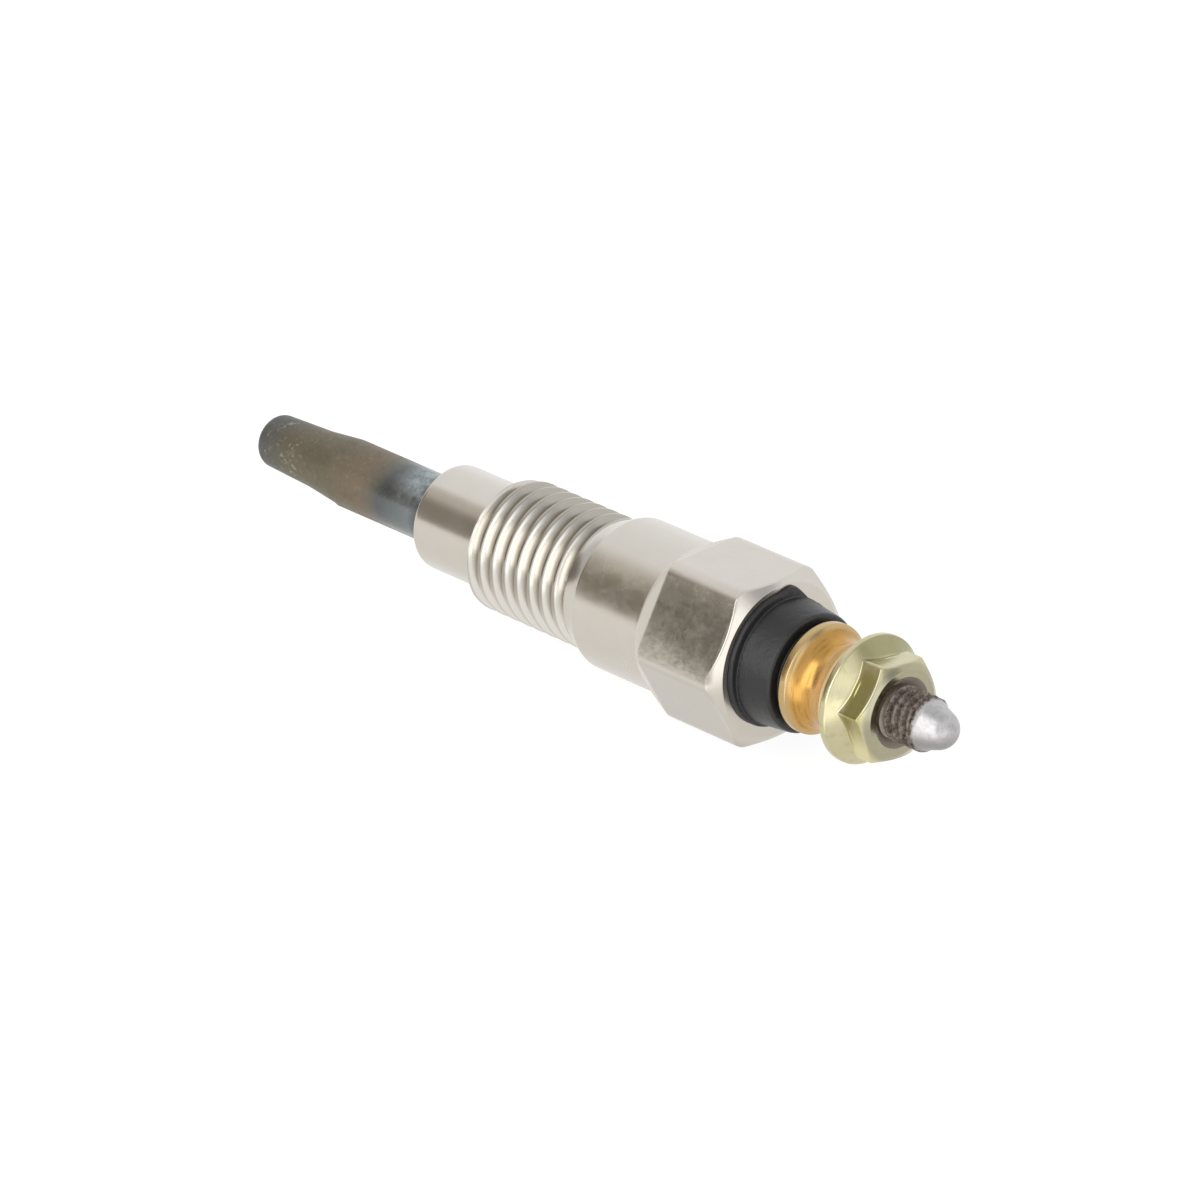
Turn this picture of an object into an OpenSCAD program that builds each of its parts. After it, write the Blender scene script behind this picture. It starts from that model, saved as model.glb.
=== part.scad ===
// Diesel glow plug lying on one flat of its hexagon.
// The axis runs along X: the heater points to -X and the terminal to +X.
// The origin is on the axis, where the thread ends and the shoulder begins.
// All sizes are in millimetres. Every turned piece is a profile of
// [radius, place along the axis] points.

/* [Shell thread] */
// Outside diameter of the M10 thread that screws into the cylinder head
thread_d = 9.9; // [9.4:0.1:10.4]
// Length of the thread
thread_len = 10.2; // [8:0.05:16]
// Chamfer at the heater end of the thread
thread_lead = 0.35; // [0.2:0.05:0.8]

/* [Shell collar] */
// Diameter of the plain collar in front of the thread
collar_d = 7.85; // [7:0.05:8.6]
// Length of the collar
collar_len = 6.5; // [3:0.05:10]
// Edge radius at the front of the collar
collar_round = 0.45; // [0.1:0.05:0.8]

/* [Shell shank] */
// Length of the conical shoulder between thread and shank
shoulder_len = 1.55; // [0.5:0.05:3]
// Diameter of the shank
shank_d = 11.28; // [10.8:0.02:11.5]
// Length of the shank
shank_len = 6.4; // [4:0.1:14]

/* [Shell hexagon] */
// Width of the hexagon across its flats
hex_af = 12; // [11.8:0.1:13]
// Diameter to which the corners of the hexagon are turned
hex_corner_d = 13.4; // [13.2:0.1:14]
// Length of the hexagon
hex_len = 8.45; // [6:0.05:10]
// Length over which the forged hexagon rises from the round shank
hex_rise_len = 1.15; // [0.5:0.05:1.6]
// Length of the corner chamfer on the terminal side
hex_rear_chamfer = 0.65; // [0.1:0.05:1.2]
// Diameter of the flat end face inside that chamfer
hex_face_d = 11.3; // [11:0.1:11.6]

/* [Shell bores] */
// Diameter of the bore that leaves room around the electrode
clear_bore_d = 6; // [5.5:0.1:6.6]
// Diameter of the counterbore that takes the seal ring and the bush
seat_bore_d = 7.4; // [7:0.1:8]
// Depth of the counterbore
seat_bore_len = 5.5; // [4:0.1:6]

/* [Heater sheath] */
// Diameter of the sheath where it enters the shell
sheath_d = 5; // [4.7:0.05:5.4]
// Wall thickness of the sheath tube
sheath_wall = 0.55; // [0.4:0.05:0.6]
// Length of the full diameter in front of the collar
sheath_out_len = 10.6; // [4:0.1:20]
// Length of the taper down to the slim front
sheath_taper_len = 3.15; // [1:0.05:4]
// Diameter of the slim front behind its dome
slim_d = 4.35; // [4.2:0.05:4.6]
// Diameter of the slim front where the dome starts
tip_d = 4; // [3.8:0.05:4.2]
// Length of the slim front, up to the dome
slim_len = 4.3; // [4:0.1:12]
// Height of the dome
dome_len = 1.1; // [0.8:0.05:1.5]
// Thickness of the closed end, behind the dome's start
tip_wall = 0.3; // [0.2:0.05:0.6]
// Length of sheath that is pressed into the shell
sheath_seat_len = 12; // [8:0.5:14]

/* [Heater coils] */
// Diameter of the resistance wire
wire_d = 0.36; // [0.2:0.02:0.4]
// Advance of the heating coil in one turn
heating_pitch = 0.7; // [0.5:0.05:1]
// Turns in the heating coil
heating_turns = 8; // [4:1:9]
// Advance of the control coil in one turn
control_pitch = 0.9; // [0.5:0.05:1.2]
// Turns in the control coil
control_turns = 7; // [4:1:9]
// Thickness of the magnesia between coil and sheath
magnesia_wall = 0.22; // [0.15:0.01:0.3]
// Thickness of the magnesia between the heating coil and the closed end
magnesia_web = 0.4; // [0.2:0.05:0.8]
// Length of the rubber seal in the mouth of the sheath
sheath_seal_len = 2.4; // [1:0.1:4]
// Height by which the sheath seal stands out of the sheath
sheath_seal_lip = 0.5; // [0.2:0.05:0.8]

/* [Centre electrode] */
// Length of the spigot that the control coil is welded to
spigot_len = 2.5; // [1:0.1:4]
// Diameter of the rod inside the sheath
inner_rod_d = 2.6; // [2.2:0.05:2.9]
// Diameter of the rod between sheath and terminal
rod_d = 3.3; // [3.1:0.05:3.4]
// Distance from the sheath to the step up to the full rod
rod_step = 1.2; // [0.8:0.1:3]
// Outside diameter of the M4 terminal thread
stud_d = 4; // [3.8:0.05:4.2]
// Pitch diameter, at which the stud fills the crimp ring and the nut
stud_pitch_d = 3.55; // [3.45:0.05:3.7]
// Length of terminal thread that shows past the nut
stud_free_len = 2.8; // [1.5:0.05:6]
// Length of terminal thread inside the bush
stud_hidden_len = 1.3; // [0.4:0.1:2]
// Diameter of the bare nose where it leaves the thread
nose_d = 3.5; // [3:0.05:3.7]
// Length of the nose
nose_len = 2.1; // [1.8:0.1:3]
// Radius of the nose's round end
nose_round = 1.45; // [0.6:0.05:1.5]

/* [Insulating bush] */
// Diameter of the bush's thin flange on the hexagon
bush_flange_d = 10; // [9.8:0.1:10.8]
// Thickness of the flange
bush_flange_t = 0.35; // [0.3:0.05:1]
// Diameter of the bush above its flange
bush_d = 9.3; // [9:0.05:9.6]
// Diameter of the bush at its outer end
bush_end_d = 8.7; // [8.5:0.05:9]
// Height of the bush above the hexagon
bush_len = 3.6; // [3:0.1:8]
// Edge radius at the outer end of the bush
bush_round = 0.35; // [0.1:0.05:0.4]
// Diameter of the low neck that the crimp ring bears on
bush_neck_d = 7; // [6:0.1:7.4]
// Height of the neck
bush_neck_len = 0.45; // [0.2:0.05:0.8]

/* [Crimp ring] */
// Diameter of the rim that bears on the bush
ring_d = 8.1; // [7.8:0.1:8.4]
// Diameter of the rim that bears on the nut
ring_end_d = 7.7; // [7.4:0.1:8]
// Diameter at the bottom of the crimped waist
ring_waist_d = 6.1; // [5.8:0.1:7]
// Length of the ring
ring_len = 4.65; // [3.4:0.05:7]
// Width of each rim
ring_rim = 0.75; // [0.4:0.05:1]
// Edge radius of the rim that bears on the bush
ring_round = 0.3; // [0.1:0.05:0.4]

/* [Flange nut] */
// Width of the nut across its flats
nut_af = 7; // [6.6:0.1:7.2]
// Height of the nut with its flange
nut_len = 3.45; // [3:0.05:6]
// Diameter of the flange
nut_flange_d = 9.4; // [8.8:0.1:10.4]
// Thickness of the flange at its rim
nut_rim_t = 0.55; // [0.3:0.05:0.8]
// Height of the cone from the rim to the hexagon
nut_cone_len = 0.95; // [0.5:0.05:1.3]
// Length of the corner chamfer at the outer end of the nut
nut_chamfer = 0.55; // [0.2:0.05:0.8]
// Diameter of the end face inside that chamfer
nut_face_d = 6.3; // [5.7:0.1:6.8]
// Diameter of the countersink at each end of the thread
nut_sink_d = 5.2; // [4.4:0.1:5.6]
// Turn of the nut about the axis
nut_turn = -8; // [-30:1:30]

/* [Fits] */
// Radial clearance between pieces that slide together
fit_gap = 0.05; // [0.02:0.01:0.06]

/* [Hidden] */
$fn = 96;
arc_steps = 12;
wire_sides = 8;
rings_per_turn = 16;
// Length by which a cutter runs past the face that it cuts
cut_over = 1;

// Places along the axis, from the thread's end towards the terminal
shank_x = shoulder_len;
hex_x = shank_x + shank_len;
hex_full_x = hex_x + hex_rise_len;
hex_end_x = hex_x + hex_len;
bush_end_x = hex_end_x + bush_len;
ring_end_x = bush_end_x + ring_len;
nut_end_x = ring_end_x + nut_len;
nose_x = nut_end_x + stud_free_len;
seat_bore_x = hex_end_x - seat_bore_len;
stud_x = hex_end_x - stud_hidden_len;

// Places along the axis, from the thread's end towards the tip
thread_x = -thread_len;
collar_x = thread_x - collar_len;
sheath_end_x = collar_x + sheath_seat_len;
taper_x = collar_x - sheath_out_len;
slim_x = taper_x - sheath_taper_len;
dome_x = slim_x - slim_len;
cavity_end_x = dome_x + tip_wall;
magnesia_end_x = sheath_end_x - sheath_seal_len;
heating_x = cavity_end_x + magnesia_web;
control_x = heating_x + heating_turns * heating_pitch;
coil_end_x = control_x + control_turns * control_pitch;
spigot_x = coil_end_x - spigot_len;

// Radii that follow from the sizes above
cavity_r = sheath_d / 2 - sheath_wall;
slim_cavity_r = slim_d / 2 - sheath_wall;
tip_cavity_r = tip_d / 2 - sheath_wall;
channel_r = tip_cavity_r - magnesia_wall;
coil_r = channel_r - fit_gap - wire_d / 2;
core_r = coil_r - wire_d / 2 - fit_gap;
seal_ring_d = (seat_bore_d - rod_d) / 2;
waist_depth = (ring_d - ring_waist_d) / 2;
waist_half = ring_len / 2 - ring_rim;
waist_r = (waist_half * waist_half + waist_depth * waist_depth) / (2 * waist_depth);
hex_corner_of = 1 / cos(30);

// Points along an arc of radius r about [cr, cx], between two angles
function arc(cr, cx, r, from, to) =
    [for (i = [0:arc_steps]) let (a = from + (to - from) * i / arc_steps)
        [cr + r * cos(a), cx + r * sin(a)]];

// A quarter of an ellipse from its radius at the base to its tip on the axis
function dome(base_r, base_x, height) =
    [for (i = [0:arc_steps]) let (a = 90 * i / arc_steps)
        [base_r * cos(a), base_x - height * sin(a)]];

// Revolves a profile of [radius, x] points about the X axis
module turned(profile) {
    rotate([0, 90, 0]) rotate_extrude() polygon(profile);
}

// A hexagonal bar along X with a flat underneath, between two widths across flats
module hex_bar(start_af, end_af, start, end) {
    rotate([0, 90, 0]) translate([0, 0, start]) rotate(30)
        cylinder(h = end - start, d1 = start_af * hex_corner_of, d2 = end_af * hex_corner_of, $fn = 6);
}

// Points of one ring of wire around a helix about Z, at an angle from its start
function wire_ring(angle, pitch) =
    let (
        out = [cos(angle), sin(angle), 0],
        rise = pitch / (360 * PI / 180),
        run = norm([coil_r, rise]),
        along = [-sin(angle) * coil_r, cos(angle) * coil_r, rise] / run,
        over = cross(along, out)
    )
    [for (k = [0:wire_sides - 1]) let (a = 360 * k / wire_sides)
        out * coil_r + [0, 0, pitch * angle / 360]
            + wire_d / 2 * (cos(a) * out + sin(a) * over)];

// Round wire wound into a coil about the X axis
module wire_coil(start, pitch, turns) {
    rings = turns * rings_per_turn;
    points = [for (i = [0:rings]) each wire_ring(360 * i / rings_per_turn, pitch)];
    sides = [for (i = [0:rings - 1], k = [0:wire_sides - 1])
        let (a = i * wire_sides + k, b = i * wire_sides + (k + 1) % wire_sides)
        each [[a, b, b + wire_sides], [a, b + wire_sides, a + wire_sides]]];
    first = [for (k = [0:wire_sides - 1]) wire_sides - 1 - k];
    last = [for (k = [0:wire_sides - 1]) rings * wire_sides + k];
    rotate([0, 90, 0]) translate([0, 0, start])
        polyhedron(points, concat(sides, [first, last]));
}

// The sheath's inner wall, from its mouth or from a place inside it to the closed end
function cavity_wall(from_x) = [
    [cavity_r, from_x],
    [cavity_r, taper_x],
    [slim_cavity_r, slim_x],
    [tip_cavity_r, cavity_end_x]
];

// Nickel-plated steel body with collar, thread, shank and hexagon
module shell() {
    corner_r = hex_corner_d / 2;
    color("#cdc6bb") difference() {
        union() {
            turned(concat(
                [[0, collar_x]],
                arc(collar_d / 2 - collar_round, collar_x + collar_round, collar_round, -90, 0),
                [
                    [collar_d / 2, thread_x],
                    [thread_d / 2 - thread_lead, thread_x],
                    [thread_d / 2, thread_x + thread_lead],
                    [thread_d / 2, 0],
                    [shank_d / 2, shank_x],
                    [shank_d / 2, hex_x],
                    [0, hex_x]
                ]
            ));
            intersection() {
                union() {
                    hex_bar(shank_d + 2 * fit_gap, hex_af, hex_x, hex_full_x);
                    hex_bar(hex_af, hex_af, hex_full_x, hex_end_x);
                }
                turned([
                    [0, hex_x],
                    [shank_d / 2, hex_x],
                    [corner_r, hex_full_x],
                    [corner_r, hex_end_x - hex_rear_chamfer],
                    [hex_face_d / 2, hex_end_x],
                    [0, hex_end_x]
                ]);
            }
        }
        turned([
            [0, collar_x - cut_over],
            [sheath_d / 2, collar_x - cut_over],
            [sheath_d / 2, sheath_end_x],
            [clear_bore_d / 2, sheath_end_x],
            [clear_bore_d / 2, seat_bore_x],
            [seat_bore_d / 2, seat_bore_x],
            [seat_bore_d / 2, hex_end_x + cut_over],
            [0, hex_end_x + cut_over]
        ]);
    }
}

// Heat-resisting tube with a closed, domed tip and a slim front
module heater_sheath() {
    color("#5d5c57") turned(concat(
        cavity_wall(sheath_end_x),
        [[0, cavity_end_x]],
        [for (i = [arc_steps:-1:0]) dome(tip_d / 2, dome_x, dome_len)[i]],
        [
            [slim_d / 2, slim_x],
            [sheath_d / 2, taper_x],
            [sheath_d / 2, sheath_end_x]
        ]
    ));
}

// Resistance wire that glows, in the front of the sheath
module heating_coil() {
    color("#8c8a86") wire_coil(heating_x, heating_pitch, heating_turns);
}

// Wire whose resistance rises with heat, between heating coil and electrode
module control_coil() {
    color("#a39d90") wire_coil(control_x, control_pitch, control_turns);
}

// Packed magnesia powder, with a channel for the coils and a hole for the rod
module magnesia_filling() {
    color("#e8e4da") turned(concat(
        cavity_wall(magnesia_end_x),
        [
            [0, cavity_end_x],
            [0, spigot_x],
            [core_r, spigot_x],
            [core_r, heating_x - wire_d],
            [channel_r, heating_x - wire_d],
            [channel_r, coil_end_x + wire_d],
            [inner_rod_d / 2, coil_end_x + wire_d],
            [inner_rod_d / 2, magnesia_end_x]
        ]
    ));
}

// Rubber plug that closes the mouth of the sheath around the rod
module sheath_seal() {
    rod_r = inner_rod_d / 2;
    lip_r = (cavity_r - rod_r) / 2;
    color("#7a3a2c") turned(concat(
        [[rod_r, magnesia_end_x], [cavity_r, magnesia_end_x]],
        [for (i = [0:arc_steps]) let (a = 180 * i / arc_steps)
            [rod_r + lip_r * (1 + cos(a)), sheath_end_x + sheath_seal_lip * sin(a)]]
    ));
}

// Steel rod from the coil to the terminal thread and its bare nose
module centre_electrode() {
    nose_r = nose_d / 2;
    round_x = nose_len - nose_round;
    slope = acos(nose_round / norm([nose_r, round_x])) - atan2(round_x, nose_r);
    rod_x = sheath_end_x + sheath_seal_lip + rod_step;
    color("#83807a") turned(concat(
        [
            [0, spigot_x],
            [core_r, spigot_x],
            [core_r, coil_end_x + wire_d],
            [inner_rod_d / 2, coil_end_x + wire_d],
            [inner_rod_d / 2, rod_x],
            [rod_d / 2, rod_x + (rod_d - inner_rod_d) / 2],
            [rod_d / 2, stud_x],
            [stud_pitch_d / 2, stud_x + (stud_pitch_d - rod_d) / 2],
            [stud_pitch_d / 2, nut_end_x],
            [stud_d / 2, nut_end_x],
            [stud_d / 2, nose_x - (stud_d - nose_d) / 2],
            [nose_r, nose_x]
        ],
        arc(0, nose_x + round_x, nose_round, slope, 90)
    ));
}

// Rubber ring between rod and counterbore
module seal_ring() {
    color("#26262a") rotate([0, 90, 0]) translate([0, 0, seat_bore_x + seal_ring_d / 2])
        rotate_extrude() translate([(rod_d + seal_ring_d) / 2, 0]) circle(d = seal_ring_d);
}

// Black moulded bush that insulates the terminal from the shell
module insulating_bush() {
    bore_r = stud_d / 2 + fit_gap;
    end_r = bush_end_d / 2;
    body_end_x = bush_end_x - bush_neck_len;
    color("#2b2b2d") turned(concat(
        [
            [bore_r, seat_bore_x + seal_ring_d],
            [seat_bore_d / 2 - fit_gap, seat_bore_x + seal_ring_d],
            [seat_bore_d / 2 - fit_gap, hex_end_x],
            [bush_flange_d / 2, hex_end_x],
            [bush_flange_d / 2, hex_end_x + bush_flange_t],
            [bush_d / 2, hex_end_x + bush_flange_t]
        ],
        arc(end_r - bush_round, body_end_x - bush_round, bush_round, 0, 90),
        [
            [bush_neck_d / 2, body_end_x],
            [bush_neck_d / 2, bush_end_x],
            [bore_r, bush_end_x]
        ]
    ));
}

// Brass-coloured ring, crimped round its waist on to the terminal thread
module crimp_ring() {
    mid_x = (bush_end_x + ring_end_x) / 2;
    waist_angle = asin(waist_half / waist_r);
    end_r = ring_end_d / 2;
    color("#c79a4b") turned(concat(
        [
            [stud_pitch_d / 2, bush_end_x]
        ],
        arc(ring_d / 2 - ring_round, bush_end_x + ring_round, ring_round, -90, 0),
        [for (p = arc(ring_waist_d / 2 + waist_r, mid_x, waist_r, 180 + waist_angle, 180 - waist_angle))
            [p[1] > mid_x ? min(p[0], end_r) : p[0], p[1]]],
        [
            [end_r, ring_end_x],
            [stud_pitch_d / 2, ring_end_x]
        ]
    ));
}

// Yellow-plated hexagon nut with a flange that clamps the supply lead
module flange_nut() {
    hex_r = nut_af / 2;
    corner_r = hex_r * hex_corner_of;
    rim_x = ring_end_x + nut_rim_t;
    sink = (nut_sink_d - stud_pitch_d) / 2;
    color("#c9c392") difference() {
        union() {
            turned([
                [0, ring_end_x],
                [nut_flange_d / 2, ring_end_x],
                [nut_flange_d / 2, rim_x],
                [hex_r, rim_x + nut_cone_len],
                [0, rim_x + nut_cone_len]
            ]);
            intersection() {
                rotate([nut_turn, 0, 0]) hex_bar(nut_af, nut_af, ring_end_x, nut_end_x);
                turned([
                    [0, ring_end_x],
                    [corner_r, ring_end_x],
                    [corner_r, nut_end_x - nut_chamfer],
                    [nut_face_d / 2, nut_end_x],
                    [0, nut_end_x]
                ]);
            }
        }
        turned([
            [0, ring_end_x - cut_over],
            [nut_sink_d / 2 + cut_over, ring_end_x - cut_over],
            [stud_pitch_d / 2, ring_end_x + sink],
            [stud_pitch_d / 2, nut_end_x - sink],
            [nut_sink_d / 2 + cut_over, nut_end_x + cut_over],
            [0, nut_end_x + cut_over]
        ]);
    }
}

shell();
heater_sheath();
heating_coil();
control_coil();
magnesia_filling();
sheath_seal();
centre_electrode();
seal_ring();
insulating_bush();
crimp_ring();
flange_nut();
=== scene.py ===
import math

import bmesh
import bpy
from mathutils import Matrix, Vector, noise


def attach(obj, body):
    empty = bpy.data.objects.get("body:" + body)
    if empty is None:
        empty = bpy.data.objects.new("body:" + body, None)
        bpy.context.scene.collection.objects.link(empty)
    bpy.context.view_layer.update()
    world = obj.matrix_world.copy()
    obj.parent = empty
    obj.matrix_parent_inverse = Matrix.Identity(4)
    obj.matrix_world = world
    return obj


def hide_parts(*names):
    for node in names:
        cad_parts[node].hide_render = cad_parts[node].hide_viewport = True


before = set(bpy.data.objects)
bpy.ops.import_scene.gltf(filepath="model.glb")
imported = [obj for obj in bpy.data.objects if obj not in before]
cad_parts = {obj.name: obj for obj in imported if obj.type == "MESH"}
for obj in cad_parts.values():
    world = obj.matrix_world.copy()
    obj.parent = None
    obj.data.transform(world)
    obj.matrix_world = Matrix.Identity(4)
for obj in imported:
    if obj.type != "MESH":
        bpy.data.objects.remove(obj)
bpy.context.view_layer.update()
mm = 0.001


# shader helpers

class Tree:  # a node tree that is filled by one method
    def __init__(self, nodeTree):
        self.nodeTree = nodeTree
        nodeTree.nodes.clear()

    def add(self, kind, settings=None, values=None, out=0):
        node = self.nodeTree.nodes.new(kind)
        for key, value in (settings or {}).items():
            if key == "stops":  # places and colours of a ramp
                ramp = node.color_ramp
                while len(ramp.elements) < len(value):
                    ramp.elements.new(1.0)
                for element, (place, colour) in zip(ramp.elements, value):
                    element.position, element.color = place, colour
            else:
                setattr(node, key, value)
        for key, value in (values or {}).items():
            if isinstance(value, Wire):
                self.nodeTree.links.new(value.socket, node.inputs[key])
            else:
                node.inputs[key].default_value = value
        return Wire(self, node.outputs[out]) if node.outputs else node

    def math(self, operation, a, b=0.0):
        return self.add("ShaderNodeMath", {"operation": operation}, {0: a, 1: b})

    def blend(self, factor, a, b):
        return self.add("ShaderNodeMix", {"data_type": "RGBA"}, {0: factor, 6: a, 7: b}, out=2)

    def layers(self, colour, coats):  # lays one masked colour after another over the first
        for mask, coat in coats:
            colour = self.blend(mask, colour, coat)
        return colour

    def step(self, value, low, high):  # smooth rise from 0 at low to 1 at high
        return self.add("ShaderNodeMapRange", {"interpolation_type": "SMOOTHSTEP"},
                        {"Value": value, "From Min": low, "From Max": high})

    def noise(self, place, scale, detail=4.0, roughness=0.55):
        return self.add("ShaderNodeTexNoise", {}, {"Vector": place, "Scale": scale, "Detail": detail,
                                                   "Roughness": roughness})

    def stretched(self, place, scale):
        return self.add("ShaderNodeMapping", {}, {"Vector": place, "Scale": scale})

    def split(self, vector):
        return [self.add("ShaderNodeSeparateXYZ", {}, {0: vector}, out=k) for k in range(3)]


class Wire:  # a socket whose operators add Math nodes
    def __init__(self, tree, socket):
        self.tree, self.socket = tree, socket

    def __add__(self, other):
        return self.tree.math("ADD", self, other)

    def __radd__(self, other):
        return self.tree.math("ADD", other, self)

    def __sub__(self, other):
        return self.tree.math("SUBTRACT", self, other)

    def __rsub__(self, other):
        return self.tree.math("SUBTRACT", other, self)

    def __mul__(self, other):
        return self.tree.math("MULTIPLY", self, other)

    def __rmul__(self, other):
        return self.tree.math("MULTIPLY", other, self)

    def __pow__(self, other):
        return self.tree.math("POWER", self, other)


def startMaterial(name):
    material = bpy.data.materials.new(name)
    material.use_nodes = True
    tree = Tree(material.node_tree)
    coords = tree.add("ShaderNodeTexCoord", out=3)
    place = tree.add("ShaderNodeVectorMath", {"operation": "SCALE"},
                     {0: coords, "Scale": 1000.0})  # millimetres
    return material, tree, place


def finishMaterial(material, tree, values, height=None, depth=0.00002, strength=0.4):
    if height is not None:
        values["Normal"] = tree.add("ShaderNodeBump", {}, {"Height": height, "Distance": depth,
                                                           "Strength": strength})
    shader = tree.add("ShaderNodeBsdfPrincipled", {}, values)
    tree.add("ShaderNodeOutputMaterial", {}, {"Surface": shader})
    return material


def axisAndRadius(tree, place):
    x, y, z = tree.split(place)
    return x, tree.math("SQRT", y * y + z * z), y, z


# mesh helpers

def smoothStep(value, low, high):
    t = min(max((value - low) / (high - low), 0.0), 1.0)
    return t * t * (3 - 2 * t)


def hump(value, middle, width):  # 1 at the middle, fading on both sides
    return math.exp(-((value - middle) / width) ** 2)


def softMin(a, b, width):  # the lower of two radii, with a rounded change
    overlap = max(width - abs(a - b), 0.0) / width
    return min(a, b) - overlap * overlap * width / 4


def softMax(a, b, width):
    return -softMin(-a, -b, width)


def roundCorners(points, steps=5):  # points are (x, r, corner radius)
    line = []
    for i, (x, r, radius) in enumerate(points):
        here = Vector((x, r))
        if radius <= 0 or i == 0 or i == len(points) - 1:
            line.append(here)
            continue
        back = Vector(points[i - 1][:2]) - here
        ahead = Vector(points[i + 1][:2]) - here
        half = back.angle(ahead) / 2
        reach = min(radius / math.tan(half), back.length * 0.49, ahead.length * 0.49)
        first, last = here + back.normalized() * reach, here + ahead.normalized() * reach
        for k in range(steps + 1):
            t = k / steps
            line.append(first.lerp(here, t).lerp(here.lerp(last, t), t))
    return line


def splitLine(line, low, high, spacing):  # more points on the stretch of a profile between two places
    result = [line[0]]
    for a, b in zip(line, line[1:]):
        if low <= min(a.x, b.x) and max(a.x, b.x) <= high:
            count = max(1, math.ceil((b - a).length / spacing))
            result += [a.lerp(b, k / count) for k in range(1, count)]
        result.append(b)
    return result


def drawLine(bm, line):  # a profile below the X axis
    verts = [bm.verts.new((p.x * mm, 0, -p.y * mm)) for p in line]
    return verts, [bm.edges.new(pair) for pair in zip(verts, verts[1:])]


def spinLine(bm, line, steps, closed=False):  # revolves a profile about the X axis
    verts, edges = drawLine(bm, line)
    if closed:
        edges.append(bm.edges.new((verts[-1], verts[0])))
    bmesh.ops.spin(bm, geom=verts + edges, cent=(0, 0, 0), axis=(1, 0, 0), dvec=(0, 0, 0),
                   angle=2 * math.pi, steps=steps, use_merge=True)
    bmesh.ops.remove_doubles(bm, verts=bm.verts[:], dist=0.0005 * mm)


def polar(vert):
    return vert.co.x / mm, math.hypot(vert.co.y, vert.co.z) / mm, math.atan2(vert.co.z, vert.co.y)


def setPolar(vert, x, r, angle):
    vert.co = (x * mm, r * mm * math.cos(angle), r * mm * math.sin(angle))


def fromFlat(angle, turn=0):  # degrees from the middle of the nearest flat, one of them underneath
    return (math.degrees(angle) + 90 + 30 - turn) % 60 - 30


def spinThread(bm, thread):  # a right-hand helical surface, cut square at both ends
    pitch, steps = thread["pitch"], thread["steps"]
    crest, root = thread["crest"], thread["root"]
    crestHalf, foot = thread["crestHalf"], thread["crestHalf"] + thread["flank"]
    crestRound, rootRound = thread["crestRound"], thread["rootRound"]
    start = thread["start"] - 1.4 * pitch  # more than a turn early, because the helix is cut later
    turns = math.ceil((thread["end"] - start) / pitch + 0.4)
    middle = start + pitch / 2  # the crest is in the middle of the pitch
    line = splitLine(roundCorners([
        (start, root, 0), (middle - foot, root, rootRound), (middle - crestHalf, crest, crestRound),
        (middle + crestHalf, crest, crestRound), (middle + foot, root, rootRound), (start + pitch, root, 0),
    ], 4), start, start + pitch, thread["spacing"])
    verts, edges = drawLine(bm, line)
    bmesh.ops.rotate(bm, verts=verts, cent=(0, 0, 0),
                     matrix=Matrix.Rotation(math.radians(thread["phase"]), 3, "X"))
    bmesh.ops.spin(bm, geom=verts + edges, cent=(0, 0, 0), axis=(1, 0, 0), dvec=(pitch / steps * mm, 0, 0),
                   angle=2 * math.pi, steps=steps)
    oneTurn = bm.verts[:] + bm.edges[:] + bm.faces[:]
    for k in range(1, turns):  # the other turns are copies of the first
        copied = bmesh.ops.duplicate(bm, geom=oneTurn)["geom"]
        bmesh.ops.translate(bm, verts=[g for g in copied if isinstance(g, bmesh.types.BMVert)],
                            vec=(k * pitch * mm, 0, 0))
    bmesh.ops.remove_doubles(bm, verts=bm.verts[:], dist=0.002 * mm)
    for vert in bm.verts:  # a chamfer at the start and a groove that runs out at the end
        x, r, angle = polar(vert)
        fadeIn = smoothStep(x, thread["start"], thread["start"] + thread["lead"])
        r = min(r, crest - thread["lead"] * (1 - (x - thread["start"]) / thread["lead"])) if fadeIn < 1 else r
        tail = smoothStep(x, thread["end"] - thread["runOut"], thread["end"])
        r = max(r, root + (crest - root) * tail)
        setPolar(vert, x, r, angle)
    for place, side in ((thread["start"], -1), (thread["end"], 1)):
        bmesh.ops.bisect_plane(bm, geom=bm.verts[:] + bm.edges[:] + bm.faces[:], dist=0.0002 * mm,
                               plane_co=(place * mm, 0, 0), plane_no=(side, 0, 0), clear_outer=True)
    return openLoop(bm, thread["start"]), openLoop(bm, thread["end"])


def openLoop(bm, place):
    near = 0.005 * mm
    return [e for e in bm.edges if e.is_boundary and all(abs(v.co.x - place * mm) < near for v in e.verts)]


def extrudeRings(bm, loop, line):  # carries an open loop through the points of a profile
    for p in line:
        made = bmesh.ops.extrude_edge_only(bm, edges=loop)["geom"]
        loop = [g for g in made if isinstance(g, bmesh.types.BMEdge) and g.is_boundary]
        for vert in {v for e in loop for v in e.verts}:
            setPolar(vert, p.x, p.y, polar(vert)[2])
    return loop


def closePole(bm, loop, place):
    bmesh.ops.pointmerge(bm, verts=list({v for e in loop for v in e.verts}), merge_co=(place * mm, 0, 0))


def makePiece(name, bm, node, material, sharp=40):
    bmesh.ops.recalc_face_normals(bm, faces=bm.faces[:])
    mesh = bpy.data.meshes.new(name)
    bm.to_mesh(mesh)
    bm.free()
    mesh.polygons.foreach_set("use_smooth", [True] * len(mesh.polygons))
    mesh.set_sharp_from_angle(angle=math.radians(sharp))
    mesh.materials.append(material)
    piece = bpy.data.objects.new(name, mesh)
    bpy.context.scene.collection.objects.link(piece)
    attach(piece, "root")
    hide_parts(node)
    print("made", name, "with", len(mesh.polygons), "faces")
    return piece


# nickel-plated shell

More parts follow.
